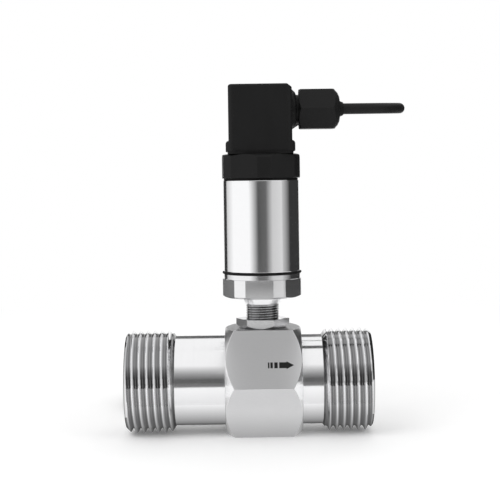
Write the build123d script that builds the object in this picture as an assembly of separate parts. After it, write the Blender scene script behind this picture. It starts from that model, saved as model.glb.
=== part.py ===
from build123d import *
from math import cos, degrees, pi, radians, sqrt, tan
import os

# Turbine flow meter. Millimetres, +Z up, flow along +X. The origin is on the floor, under the
# middle of the body's length; the hexagon's bottom flat rests on it.

# Meter body
body_length = 79.0
hex_flats = 34.0
hex_length = 24.5
hex_end_land = 0.3
tube_diameter = 28.8
thread_diameter = 33.249
thread_length = 16.0
thread_chamfer = 1.5
thread_runout = 1.1
chamber_diameter = 20.0
guide_step = 0.6
mouth_chamfer = 0.8
head_x = 4.7
pocket_web = 1.3
pocket_chamfer = 0.6

# Flow guides and their retaining rings
inlet_recess = 15.15
outlet_recess = 11.75
guide_hub_diameter = 8.4
guide_nose_length = 7.0
vane_tip_chamfer = 0.42
vane_count = 4
vane_thickness = 1.2
ring_thickness = 1.0
ring_depth = 0.7
ring_width = 1.5
ring_gap = 5.5
ring_lug_diameter = 3.0
ring_hole_diameter = 1.2

# Rotor and its bearings
rotor_length = 6.0
rotor_hub_diameter = 7.8
blade_count = 6
blade_thickness = 1.1
blade_twist = 38.0
blade_stations = 5
blade_end_inset = 0.2
blade_root_depth = 1.56
hub_chamfer = 0.5
tip_clearance = 0.4
rotor_end_gap = 0.4
shaft_diameter = 2.0
bearing_diameter = 4.0
bearing_length = 3.6
pad_thickness = 0.9
shaft_end_gap = 0.15
shaft_chamfer = 0.25

# Pickup
nut_flats = 15.0
nut_height = 2.9
nut_turn = -6.0
stem_diameter = 10.9
stem_length = 13.0
stem_end_gap = 0.3
stem_tip_chamfer = 0.5
cone_shoulder = 0.25
cone_height = 2.4
cone_diameter = 13.0
base_flats = 24.0
base_diameter = 25.6
base_height = 5.9
base_turn = -4.8
base_chamfer_depth = 1.0
base_chamfer_height = 0.6
disc_diameter = 25.0
disc_height = 1.7
spigot_height = 5.0
stem_wall = 1.55
stem_floor = 1.0
cup_diameter = 19.0
cup_floor = 2.0
pole_diameter = 3.0
pole_length = 7.9
bobbin_wall = 0.35
bobbin_flange = 0.6
winding_margin = 0.45
magnet_diameter = 6.0
magnet_height = 5.0
lead_diameter = 0.4
lead_clearance = 0.2
lead_rise = 0.6
lead_slant = 3.8
lead_joint_length = 3.6
lead_bend = 0.9

# Housing
sleeve_diameter = 24.9
sleeve_length = 29.4
sleeve_wall = 1.2
sleeve_edge = 0.2
seal_height = 0.7
seal_proud = 0.4
board_width = 16.0
board_height = 32.0
board_thickness = 1.2
board_hole_diameter = 1.6
board_hole_spacing = 12.4
board_hole_drop = 2.2
capacitor_diameter = 3.8
capacitor_length = 4.2
capacitor_edge = 0.3

# Connector
cap_flats = 24.7
cap_corner_diameter = 26.4
cap_height = 7.8
cap_turn = 4.0
cap_deck = 2.3
cap_top_round = 1.2
cap_bottom_round = 0.5
contact_base_diameter = 17.0
blade_width = 3.4
blade_gauge = 0.8
blade_length = 16.0
blade_pitch_radius = 4.9
blade_tail = 4.0
base_skirt = 2.0
gasket_height = 0.9
gasket_inset = 0.6
gasket_corner = 3.0
flange_width = 22.3
flange_height = 3.4
flange_corner = 2.6
flange_round = 1.0
plug_width = 20.4
plug_depth = 20.0
plug_height = 21.4
plug_wall = 2.2
plug_roof = 3.0
plug_corner = 1.6
plug_slope = 2.2
plug_top_round = 0.9
screw_diameter = 3.0
screw_head_diameter = 6.0
screw_head_height = 1.3
screw_seal_height = 0.5
screw_slot_width = 0.8
screw_slot_depth = 0.7
head_sink = 0.3
screw_tip_below_deck = 2.5
insert_diameter = 5.2
insert_height = 3.6
insert_below_deck = 1.0
block_height = 10.0
block_lift = 1.2
clip_wall = 0.6
clip_margin = 0.4
clip_rise = 1.2
clip_gap_depth = 8.0

# Cable gland
gland_below_top = 7.9
boss_diameter = 11.6
boss_reach = 11.75
boss_edge = 0.8
neck_diameter = 9.5
neck_length = 10.5
neck_gap = 0.9
neck_wall = 1.1
gland_flats = 12.75
gland_length = 13.3
gland_dome = 2.9
gland_start_chamfer = 0.7
gland_seal_length = 5.0
gland_seal_proud = 0.6
gland_washer_thickness = 0.5
cable_sleeve_length = 2.4
cable_sleeve_diameter = 5.2
cable_sleeve_seat = 1.2
cable_sleeve_lip = 0.25

# Cable
cable_diameter = 3.6
coil_middle_radius = 21.6
coil_columns = 5
coil_layers = 2
coil_x = -14.0
coil_behind_hex = 5.05
tie_width = 8.0
tie_thickness = 0.4
core_diameter = 1.2
core_length = 16.0
core_fan = 4.5
core_lift = 0.1

# Clearances
fit = 0.02
running_fit = 0.03
slip = 0.05

axis_height = hex_flats / 2
thread_radius = thread_diameter / 2
tube_radius = tube_diameter / 2
chamber_radius = chamber_diameter / 2
guide_bore_radius = chamber_radius + guide_step
rotor_half = rotor_length / 2
hub_face = rotor_half + rotor_end_gap
shoulder = hub_face + guide_step
ring_space = ring_thickness + slip
inlet_guide_length = body_length / 2 + head_x - shoulder - ring_space - inlet_recess
outlet_guide_length = body_length / 2 - head_x - shoulder - ring_space - outlet_recess
stem_radius = stem_diameter / 2
pocket_floor = axis_height + chamber_radius + pocket_web
stem_bottom = pocket_floor + stem_end_gap
stem_top = stem_bottom + stem_length
base_bottom = stem_top + cone_height
disc_bottom = base_bottom + base_height
disc_top = disc_bottom + disc_height
stem_bore_radius = stem_radius - stem_wall
stem_inside = stem_bottom + stem_floor
cup_bottom = base_bottom + cup_floor
sleeve_radius = sleeve_diameter / 2
sleeve_bore_radius = sleeve_radius - sleeve_wall
spigot_radius = sleeve_bore_radius - slip
sleeve_bottom = disc_top + seal_height
sleeve_top = sleeve_bottom + sleeve_length
cap_bottom = sleeve_top + seal_height
cap_top = cap_bottom + cap_height
gasket_top = cap_top + gasket_height
plug_top = gasket_top + plug_height
gland_z = plug_top - gland_below_top
boss_end = head_x + boss_reach
nut_start = boss_end + neck_gap
neck_end = boss_end + neck_length
nut_end = nut_start + gland_length
cable_radius = cable_diameter / 2
board_bottom = cup_bottom + slip
contact_base_radius = contact_base_diameter / 2
deck_bottom = cap_top - cap_deck
insert_bottom = deck_bottom - insert_below_deck
block_bottom = gasket_top + block_lift
block_top = block_bottom + block_height
clip_gauge = blade_gauge + 2 * clip_wall
clip_width = blade_width + 2 * clip_margin
screw_seat = plug_top - head_sink - screw_head_height - screw_seal_height
neck_bore_radius = neck_diameter / 2 - neck_wall
washer_start = neck_end + gland_seal_proud
cable_sleeve_start = nut_end - cable_sleeve_seat

low = (Align.CENTER, Align.CENTER, Align.MIN)


def turned_along_flow(points):
    """A turned piece on the bore's axis, from (x, radius) points."""
    return Pos(0, 0, axis_height) * revolve(make_face(Polyline(*points, close=True)), Axis.X)


def turned_upright(points):
    """A turned piece on the pickup's axis, from (radius, z) points."""
    outline = make_face(Plane.XZ * Polyline(*points, close=True))
    return Pos(head_x, 0, 0) * revolve(outline, Axis.Z)


def turned_on_gland(points):
    """A turned piece on the gland's axis, from (x, radius) points."""
    return Pos(0, 0, gland_z) * revolve(make_face(Polyline(*points, close=True)), Axis.X)


def hexagon(across_flats):
    return RegularPolygon(across_flats / 2, 6, major_radius=False)


def corner_radius(across_flats):
    return across_flats / 2 / cos(radians(30))


def ring_upright(inner, outer, bottom, top):
    return turned_upright([(inner, bottom), (outer, bottom), (outer, top), (inner, top)])


def ring_on_gland(inner, outer, start, end):
    return turned_on_gland([(start, inner), (end, inner), (end, outer), (start, outer)])


def rod_upright(radius, bottom, top):
    return Pos(head_x, 0, bottom) * Cylinder(radius, top - bottom, align=low)


def block(width, depth, bottom, top, x=head_x, y=0.0):
    return Pos(x, y, bottom) * Box(width, depth, top - bottom, align=low)


def guide_ends(side, length):
    """The guide's shoulder end and its outer end, along the flow."""
    return head_x + side * shoulder, head_x + side * (shoulder + length)


def ring_span(side, length):
    outer_end = guide_ends(side, length)[1]
    return sorted((outer_end, outer_end + side * ring_space))


# Meter body: hexagon, plain tubes and the major diameters of both pipe threads
def meter_body():
    half = body_length / 2
    inner = half - thread_length
    chamfered = thread_radius - thread_chamfer
    outline = [
        (-half, 0),
        (-half, chamfered),
        (-half + thread_chamfer, thread_radius),
        (-inner - thread_runout, thread_radius),
        (-inner, tube_radius),
        (inner, tube_radius),
        (inner + thread_runout, thread_radius),
        (half - thread_chamfer, thread_radius),
        (half, chamfered),
        (half, 0),
    ]
    hex_start, hex_end = head_x - hex_length / 2, head_x + hex_length / 2
    bar = Plane.YZ * hexagon(hex_flats)
    prism = Pos(hex_start, 0, axis_height) * extrude(bar, amount=hex_length)
    end_radius = hex_flats / 2 - hex_end_land
    tip = corner_radius(hex_flats) + 1
    run = tip - end_radius
    prism &= turned_along_flow([
        (hex_start, 0),
        (hex_start, end_radius),
        (hex_start + run, tip),
        (hex_end - run, tip),
        (hex_end, end_radius),
        (hex_end, 0),
    ])
    body = turned_along_flow(outline) + prism

    groove = guide_bore_radius + ring_depth
    inlet_groove = ring_span(-1, inlet_guide_length)
    outlet_groove = ring_span(1, outlet_guide_length)
    mouth = guide_bore_radius + mouth_chamfer
    bore = [(-half, 0), (-half, mouth), (-half + mouth_chamfer, guide_bore_radius)]
    bore += [(inlet_groove[0], guide_bore_radius), (inlet_groove[0], groove)]
    bore += [(inlet_groove[1], groove), (inlet_groove[1], guide_bore_radius)]
    bore += [(head_x - shoulder, guide_bore_radius), (head_x - shoulder, chamber_radius)]
    bore += [(head_x + shoulder, chamber_radius), (head_x + shoulder, guide_bore_radius)]
    bore += [(outlet_groove[0], guide_bore_radius), (outlet_groove[0], groove)]
    bore += [(outlet_groove[1], groove), (outlet_groove[1], guide_bore_radius)]
    bore += [(half - mouth_chamfer, guide_bore_radius), (half, mouth), (half, 0)]
    body -= turned_along_flow(bore)

    pocket = stem_radius + slip
    body -= rod_upright(pocket, pocket_floor, hex_flats + 1)
    body -= turned_upright([
        (0, hex_flats - pocket_chamfer),
        (pocket, hex_flats - pocket_chamfer),
        (pocket + pocket_chamfer, hex_flats),
        (0, hex_flats),
    ])
    return body


# Flow guide: bullet hub with straight vanes that stop on the bore's shoulder
def flow_guide(side, length):
    hub = guide_hub_diameter / 2
    straight = guide_step + length - guide_nose_length
    outline = [
        Line((0, 0), (0, hub)),
        Line((0, hub), (straight, hub)),
        EllipticalCenterArc((straight, 0), guide_nose_length, hub, start_angle=0, arc_size=90),
        Line((straight + guide_nose_length, 0), (0, 0)),
    ]
    guide = revolve(make_face(outline), Axis.X)
    vane_radius = guide_bore_radius - slip
    corner = (Align.MIN, Align.CENTER, Align.MIN)
    plate = Pos(guide_step, 0, 0) * Box(length, vane_thickness, vane_radius, align=corner)
    tips = plate.edges().filter_by(Axis.Z).group_by(Axis.X)[-1]
    plate = chamfer(tips, vane_tip_chamfer)
    for index in range(vane_count):
        guide += Rot(45 + index * 360 / vane_count, 0, 0) * plate
    rim = Rot(0, 90, 0) * Cylinder(vane_radius, 2 * (length + 2))
    guide &= rim
    pocket = bearing_length + pad_thickness
    guide -= Rot(0, 90, 0) * Cylinder(bearing_diameter / 2 + fit, pocket, align=low)
    turn = Rot(0, 0, 0) if side > 0 else Rot(0, 0, 180)
    return Pos(head_x + side * hub_face, 0, axis_height) * turn * guide


# Retaining ring: an open spring ring with two drilled lugs
def retaining_ring(side, length):
    start = ring_span(side, length)[0]
    outer = guide_bore_radius + ring_depth - slip
    inner = outer - ring_width
    shape = Circle(outer) - Circle(inner)
    shape -= Pos(0, -outer) * Rectangle(ring_gap, 2 * ring_width + 2)
    lug_x = (ring_gap + ring_lug_diameter) / 2
    lug_radius = outer - ring_lug_diameter / 2 - slip
    lug_y = -sqrt(lug_radius**2 - lug_x**2)
    for turn in (-1, 1):
        place = Pos(turn * lug_x, lug_y)
        shape += place * Circle(ring_lug_diameter / 2)
        shape -= place * Circle(ring_hole_diameter / 2)
    ring = extrude(Plane.YZ * shape, amount=ring_thickness)
    return Pos(start + slip / 2, 0, axis_height) * ring


def bearing(side):
    near = head_x + side * hub_face
    far = near + side * bearing_length
    inner = shaft_diameter / 2 + running_fit
    outer = bearing_diameter / 2
    return turned_along_flow([(near, inner), (far, inner), (far, outer), (near, outer)])


def thrust_pad(side):
    near = head_x + side * (hub_face + bearing_length)
    far = near + side * pad_thickness
    outer = bearing_diameter / 2
    return turned_along_flow([(near, 0), (far, 0), (far, outer), (near, outer)])


# Rotor: each blade is a helicoid through rectangles that turn along the axis
def rotor():
    hub_radius = rotor_hub_diameter / 2
    tip_radius = chamber_radius - tip_clearance
    root = hub_radius - blade_root_depth
    reach = chamber_radius
    blade_span = rotor_length - 2 * blade_end_inset
    sections = []
    for index in range(blade_stations):
        share = index / (blade_stations - 1)
        x = (share - 0.5) * blade_span
        section = Pos((root + reach) / 2, 0) * Rectangle(reach - root, blade_thickness)
        turned = Rot(0, 0, (share - 0.5) * blade_twist) * section
        sections.append(Pos(x, 0, 0) * (Plane.YZ * turned))
    blade = loft(sections)
    trim = Rot(0, 90, 0) * Cylinder(tip_radius, rotor_length + 2)
    blade &= trim
    hub = chamfer_ends(Rot(0, 90, 0) * Cylinder(hub_radius, rotor_length), hub_chamfer)
    wheel = hub
    for index in range(blade_count):
        wheel += Rot(index * 360 / blade_count, 0, 0) * blade
    wheel -= Rot(0, 90, 0) * Cylinder(shaft_diameter / 2 + fit, rotor_length + 2)
    return Pos(head_x, 0, axis_height) * wheel


def chamfer_ends(rod, size):
    return chamfer(rod.edges().filter_by(GeomType.CIRCLE), size)


def rotor_shaft():
    length = 2 * (hub_face + bearing_length - shaft_end_gap)
    rod = Rot(0, 90, 0) * Cylinder(shaft_diameter / 2, length)
    return Pos(head_x, 0, axis_height) * chamfer_ends(rod, shaft_chamfer)


def lock_nut():
    corner = corner_radius(nut_flats)
    prism = extrude(Rot(0, 0, nut_turn) * hexagon(nut_flats), amount=nut_height)
    nut = Pos(head_x, 0, hex_flats) * prism
    crown = nut_flats / 2
    drop = (corner - crown) * tan(radians(30))
    top = hex_flats + nut_height
    nut &= turned_upright([
        (0, hex_flats),
        (crown, hex_flats),
        (corner, hex_flats + drop),
        (corner, top - drop),
        (crown, top),
        (0, top),
    ])
    return nut - rod_upright(stem_radius + slip, hex_flats - 1, top + 1)


# Pickup body: threaded stem, cone, round base with six flats, disc and the sleeve's spigot
def pickup_body():
    base_radius = base_diameter / 2
    base_outline = turned_upright([
        (0, base_bottom),
        (base_radius - base_chamfer_depth, base_bottom),
        (base_radius, base_bottom + base_chamfer_height),
        (base_radius, disc_bottom),
        (0, disc_bottom),
    ])
    flats = extrude(Rot(0, 0, base_turn) * hexagon(base_flats), amount=base_height)
    base = base_outline & (Pos(head_x, 0, base_bottom) * flats)
    disc_radius = disc_diameter / 2
    spigot_top = disc_top + spigot_height
    shape = base + turned_upright([
        (0, stem_bottom),
        (stem_radius - stem_tip_chamfer, stem_bottom),
        (stem_radius, stem_bottom + stem_tip_chamfer),
        (stem_radius, stem_top),
        (stem_radius + cone_shoulder, stem_top),
        (cone_diameter / 2, base_bottom),
        (0, base_bottom),
    ])
    shape += turned_upright([
        (0, disc_bottom),
        (disc_radius, disc_bottom),
        (disc_radius, disc_top),
        (spigot_radius, disc_top),
        (spigot_radius, spigot_top),
        (0, spigot_top),
    ])
    shape -= rod_upright(stem_bore_radius, stem_inside, cup_bottom + 1)
    return shape - rod_upright(cup_diameter / 2, cup_bottom, spigot_top + 1)


def pole_piece():
    return rod_upright(pole_diameter / 2, stem_inside, stem_inside + pole_length)


def coil_bobbin():
    bore = pole_diameter / 2 + slip
    core = bore + bobbin_wall
    flange = stem_bore_radius - slip
    bottom, top = stem_inside, stem_inside + pole_length - slip
    return turned_upright([
        (bore, bottom),
        (flange, bottom),
        (flange, bottom + bobbin_flange),
        (core, bottom + bobbin_flange),
        (core, top - bobbin_flange),
        (flange, top - bobbin_flange),
        (flange, top),
        (bore, top),
    ])


def pickup_winding():
    inner = pole_diameter / 2 + slip + bobbin_wall
    bottom = stem_inside + bobbin_flange
    top = stem_inside + pole_length - slip - bobbin_flange
    return ring_upright(inner, stem_bore_radius - winding_margin, bottom, top)


def magnet():
    bottom = stem_inside + pole_length
    return rod_upright(magnet_diameter / 2, bottom, bottom + magnet_height)


# Two leads from the winding up beside the magnet to the board's faces
def coil_leads():
    start = stem_inside + pole_length
    outside = (magnet_diameter + lead_diameter) / 2 + lead_clearance
    slant_start = cup_bottom + lead_rise
    slant_end = slant_start + lead_slant
    beside_board = (board_thickness + lead_diameter) / 2
    points = [
        (outside, start),
        (outside, slant_start),
        (beside_board, slant_end),
        (beside_board, slant_end + lead_joint_length),
    ]
    leads = []
    for side in (-1, 1):
        path = FilletPolyline(*[(head_x, side * y, z) for y, z in points], radius=lead_bend)
        profile = Plane(origin=path @ 0, z_dir=path % 0) * Circle(lead_diameter / 2)
        leads.append(sweep(profile, path=path))
    return leads


def lower_seal():
    return ring_upright(spigot_radius + slip, sleeve_radius + seal_proud, disc_top, sleeve_bottom)


def upper_seal():
    outer = sleeve_radius - seal_proud
    return ring_upright(spigot_radius + slip, outer, sleeve_top, cap_bottom)


def housing_sleeve():
    return turned_upright([
        (sleeve_bore_radius, sleeve_bottom),
        (sleeve_radius - sleeve_edge, sleeve_bottom),
        (sleeve_radius, sleeve_bottom + sleeve_edge),
        (sleeve_radius, sleeve_top - sleeve_edge),
        (sleeve_radius - sleeve_edge, sleeve_top),
        (sleeve_bore_radius, sleeve_top),
    ])


def circuit_board():
    top = board_bottom + board_height
    board = block(board_width, board_thickness, board_bottom, top)
    for side in (-1, 1):
        drill = Rot(90, 0, 0) * Cylinder(board_hole_diameter / 2, 2 * board_thickness)
        board -= Pos(head_x + side * board_hole_spacing / 2, 0, top - board_hole_drop) * drill
    return board


# Chips: width, depth and height, then the middle's x on the board, height above its end, and face
chips = {
    "amplifier": (5.0, 1.5, 6.2, -2.2, 16.0, -1),
    "comparator": (4.0, 1.2, 3.6, 3.4, 24.0, -1),
    "regulator": (6.5, 1.6, 6.5, 1.0, 19.0, 1),
}
capacitor_places = [(5.0, 15.5), (-4.4, 11.0)]


def board_chips():
    solids = []
    for width, depth, height, x, above, side in chips.values():
        y = side * (board_thickness + depth) / 2
        bottom = board_bottom + above
        solids.append(block(width, depth, bottom, bottom + height, head_x + x, y))
    return solids


def board_capacitors():
    cans = []
    for x, above in capacitor_places:
        can = Rot(90, 0, 0) * Cylinder(capacitor_diameter / 2, capacitor_length, align=low)
        can = chamfer_ends(can, capacitor_edge)
        cans.append(Pos(head_x + x, -board_thickness / 2, board_bottom + above) * can)
    return cans


# Connector cap: a rounded hexagon that screws into the sleeve's top
def connector_cap():
    shape = Rot(0, 0, cap_turn) * Rot(0, 0, -90) * hexagon(cap_flats)
    shape &= Circle(cap_corner_diameter / 2)
    cap = Pos(head_x, 0, cap_bottom) * extrude(shape, amount=cap_height)
    cap = fillet(cap.edges().group_by(Axis.Z)[-1], cap_top_round)
    cap = fillet(cap.edges().group_by(Axis.Z)[0], cap_bottom_round)
    cap += rod_upright(spigot_radius, cap_bottom - spigot_height, cap_bottom + 0.5)
    cap -= rod_upright(cup_diameter / 2, cap_bottom - spigot_height - 1, deck_bottom)
    return cap - rod_upright(contact_base_radius + slip, deck_bottom - 1, cap_top + 1)


def contact_places():
    """The four blades' places round the connector's axis; the last is the earth blade."""
    return [Pos(head_x, 0, 0) * Rot(0, 0, 90 * index) for index in range(4)]


def contact_blades():
    bottom = deck_bottom - blade_tail
    blades = []
    for place in contact_places():
        flat = Box(blade_gauge, blade_width, blade_length, align=low)
        blades.append(place * Pos(blade_pitch_radius, 0, bottom) * flat)
    return blades


def contact_base():
    skirt_bottom = deck_bottom - base_skirt
    base = rod_upright(cup_diameter / 2 - slip, skirt_bottom, deck_bottom)
    base += rod_upright(contact_base_radius, deck_bottom, gasket_top)
    for place in contact_places():
        slot = Box(blade_gauge + 2 * fit, blade_width + 2 * fit, blade_length, align=low)
        base -= place * Pos(blade_pitch_radius, 0, skirt_bottom - 1) * slot
    return base - rod_upright(insert_diameter / 2 + fit, skirt_bottom - 1, gasket_top + 1)


def screw_insert():
    inner = screw_diameter / 2 + fit
    return ring_upright(inner, insert_diameter / 2, insert_bottom, insert_bottom + insert_height)


def flat_gasket():
    width = flange_width - 2 * gasket_inset
    sheet = RectangleRounded(width, width, gasket_corner)
    sheet -= Circle(contact_base_radius + slip)
    return Pos(head_x, 0, cap_top) * extrude(sheet, amount=gasket_height)


# Plug housing: hollow box on a flange, with a boss and a threaded neck for the gland nut
def plug_housing():
    plan = RectangleRounded(plug_width, plug_depth, plug_corner)
    shell = Pos(head_x, 0, gasket_top) * extrude(plan, amount=plug_height)
    side = Pos(head_x, gasket_top + plug_height / 2) * Rectangle(plug_width, plug_height)
    upper = side.vertices().group_by(Axis.Y)[-1].sort_by(Axis.X)
    side = chamfer(upper[-1], plug_slope)
    side = fillet(side.vertices().group_by(Axis.Y)[-1].sort_by(Axis.X)[0], plug_top_round)
    shell &= extrude(Plane.XZ * side, amount=plug_depth, both=True)
    flange = block(flange_width, flange_width, gasket_top, gasket_top + flange_height)
    flange = fillet(flange.edges().filter_by(Axis.Z), flange_corner)
    flange = fillet(flange.edges().group_by(Axis.Z)[-1], flange_round)
    shell += flange
    boss_start = head_x + plug_width / 2 - plug_wall
    shell += turned_on_gland([
        (boss_start, 0),
        (boss_start, boss_diameter / 2),
        (boss_end - boss_edge, boss_diameter / 2),
        (boss_end, boss_diameter / 2 - boss_edge),
        (boss_end, neck_diameter / 2),
        (neck_end, neck_diameter / 2),
        (neck_end, 0),
    ])
    inside_width = plug_width - 2 * plug_wall
    inside_depth = plug_depth - 2 * plug_wall
    shell -= block(inside_width, inside_depth, gasket_top - 1, plug_top - plug_roof)
    bore_start = head_x + inside_width / 2 - 1
    shell -= ring_on_gland(0, neck_bore_radius, bore_start, neck_end + 1)
    shell -= rod_upright(screw_diameter / 2 + slip, plug_top - plug_roof - 1, plug_top + 1)
    return shell - rod_upright(screw_head_diameter / 2 + head_sink, screw_seat, plug_top + 1)


def terminal_block():
    width = plug_width - 2 * plug_wall - 2 * slip
    depth = plug_depth - 2 * plug_wall - 2 * slip
    insert = block(width, depth, block_bottom, block_top)
    for place in contact_places():
        pocket = Box(clip_gauge + 2 * fit, clip_width + 2 * fit, 2 * block_height, align=low)
        insert -= place * Pos(blade_pitch_radius, 0, block_bottom - 1) * pocket
    return insert - rod_upright(screw_diameter / 2 + slip, block_bottom - 1, block_top + 1)


def plug_contacts():
    clips = []
    for place in contact_places():
        spot = place * Pos(blade_pitch_radius, 0, block_bottom)
        clip = Box(clip_gauge, clip_width, block_height + clip_rise, align=low)
        gap = Box(blade_gauge + 2 * fit, blade_width + 2 * fit, 2 * clip_gap_depth)
        clips.append(spot * (clip - gap))
    return clips


def plug_screw():
    head_bottom = screw_seat + screw_seal_height
    head_top = head_bottom + screw_head_height
    tip = deck_bottom - screw_tip_below_deck
    screw = rod_upright(screw_diameter / 2, tip, head_bottom)
    screw += rod_upright(screw_head_diameter / 2, head_bottom, head_top)
    slot_floor = head_top - screw_slot_depth
    return screw - block(screw_head_diameter + 1, screw_slot_width, slot_floor, head_top + 1)


def screw_seal():
    inner = screw_diameter / 2 + slip
    outer = screw_head_diameter / 2 - slip
    return ring_upright(inner, outer, screw_seat, screw_seat + screw_seal_height)


def gland_seal():
    inner, outer = cable_radius + slip, neck_bore_radius - slip
    return ring_on_gland(inner, outer, washer_start - gland_seal_length, washer_start)


def gland_washer():
    inner, outer = cable_radius + slip, neck_diameter / 2 - slip
    return ring_on_gland(inner, outer, washer_start, washer_start + gland_washer_thickness)


# Gland nut: a hexagon with a domed end, hollow for the neck, washer and cable sleeve
def gland_nut():
    bar = extrude(Plane.YZ * hexagon(gland_flats), amount=gland_length)
    nut = Pos(nut_start, 0, gland_z) * bar
    flat = gland_flats / 2
    corner = corner_radius(gland_flats) + slip
    dome = nut_end - gland_dome
    mouth_rim = flat * 0.55
    shoulder_point = (dome + gland_dome * 0.59, flat - gland_dome * 0.19)
    outline = [
        Line((nut_start, 0), (nut_start, flat)),
        Line((nut_start, flat), (nut_start + gland_start_chamfer, corner)),
        Line((nut_start + gland_start_chamfer, corner), (dome, corner)),
        ThreePointArc((dome, corner), shoulder_point, (nut_end, mouth_rim)),
        Line((nut_end, mouth_rim), (nut_end, 0)),
        Line((nut_end, 0), (nut_start, 0)),
    ]
    nut &= Pos(0, 0, gland_z) * revolve(make_face(outline), Axis.X)
    thread = neck_diameter / 2 + slip
    washer_end = washer_start + gland_washer_thickness
    mouth = cable_sleeve_diameter / 2 + slip
    return nut - turned_on_gland([
        (nut_start, 0),
        (nut_start, thread),
        (washer_end, thread),
        (washer_end, cable_radius + slip),
        (cable_sleeve_start, cable_radius + slip),
        (cable_sleeve_start, mouth),
        (nut_end, mouth),
        (nut_end, 0),
    ])


def cable_sleeve():
    end = cable_sleeve_start + cable_sleeve_length
    inner, outer = cable_radius + slip, cable_sleeve_diameter / 2
    return turned_on_gland([
        (cable_sleeve_start, inner),
        (cable_sleeve_start, outer),
        (nut_end, outer),
        (end, inner + cable_sleeve_lip),
        (end, inner),
    ])


# Cable: out of the gland, round behind the plug and down to the coil behind the body
cable_points = [
    (26.5, 0, gland_z),
    (37.5, 0, gland_z),
    (47.0, 5.5, 105.3),
    (52.5, 15.0, 106.4),
    (52.5, 26.0, 107.7),
    (47.0, 35.5, 108.8),
    (37.5, 41.0, 109.5),
    (26.5, 41.6, 109.0),
    (16.6, 41.0, 104.8),
    (8.8, 39.6, 97.0),
    (5.2, 38.0, 86.5),
    (4.6, 36.6, 72.5),
    (5.2, 35.4, 56.0),
    (5.6, 33.8, 41.5),
    (3.6, 31.6, 29.5),
    (-1.8, 29.2, 18.8),
    (-8.6, 27.2, 10.4),
    (-16.5, 26.6, 6.6),
]


def bend_radii(points):
    """The largest arc at each corner that both of its runs have room for."""
    places = [Vector(*point) for point in points]
    radii = []
    for before, here, after in zip(places, places[1:], places[2:]):
        arriving, leaving = here - before, after - here
        turn = radians(arriving.get_angle(leaving))
        radii.append(0.45 * min(arriving.length, leaving.length) / tan(turn / 2))
    return radii


def tube(points, diameter):
    radii = bend_radii(points)
    path = FilletPolyline(*points, radius=radii)
    profile = Plane(origin=path @ 0, z_dir=path % 0) * Circle(diameter / 2)
    solid = sweep(profile, path=path)
    section = pi * diameter**2 / 4
    print("radii", [round(radius, 1) for radius in radii], "length", round(path.length, 1))
    print("volume share", round(solid.volume / (section * path.length), 4))
    return solid


coil_width = coil_columns * cable_diameter
coil_height = coil_layers * cable_diameter
coil_outer = coil_middle_radius + coil_width / 2
coil_y = corner_radius(hex_flats) + coil_behind_hex + coil_outer
tail_y = coil_y + coil_outer - cable_radius
tail_z = tie_thickness + cable_radius
tail_points = [
    (coil_x + 6.0, tail_y - 0.8, tail_z),
    (coil_x + 15.0, tail_y - 2.2, tail_z - 0.3),
    (coil_x + 24.0, tail_y - 5.6, cable_radius),
]


def cable_coil():
    section = Pos(coil_middle_radius, coil_height / 2) * Rectangle(coil_width, coil_height)
    section = fillet(section.vertices(), cable_radius * 0.9)
    return Pos(coil_x, coil_y, tie_thickness) * revolve(Plane.XZ * section, Axis.Z)


def coil_tie():
    """A strap round the coil's right-hand side."""
    width = coil_width + 2 * tie_thickness
    height = coil_height + 2 * tie_thickness
    section = Rectangle(width, height) - Rectangle(coil_width, coil_height)
    section = Pos(coil_middle_radius, height / 2) * section
    span = degrees(tie_width / coil_middle_radius)
    strap = revolve(Plane.XZ * section, Axis.Z, span)
    return Pos(coil_x, coil_y, 0) * Rot(0, 0, -span / 2) * strap


def core(spread):
    """One stripped core, fanned out from the cable's cut end."""
    end = Vector(*tail_points[-1])
    heading = (end - Vector(*tail_points[-2])).normalized()
    across = Vector(-heading.Y, heading.X, 0) * spread
    start = end + across * core_diameter * 0.9
    middle = start + heading * core_length / 2 + across * core_fan / 3
    tip = start + heading * core_length + across * core_fan
    height = core_diameter / 2 + core_lift
    start, middle, tip = ((point.X, point.Y, height) for point in (start, middle, tip))
    if spread:
        return tube([start, middle, tip], core_diameter)
    profile = Plane(origin=start, z_dir=Vector(*tip) - Vector(*start)) * Circle(core_diameter / 2)
    return extrude(profile, amount=core_length)


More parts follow.
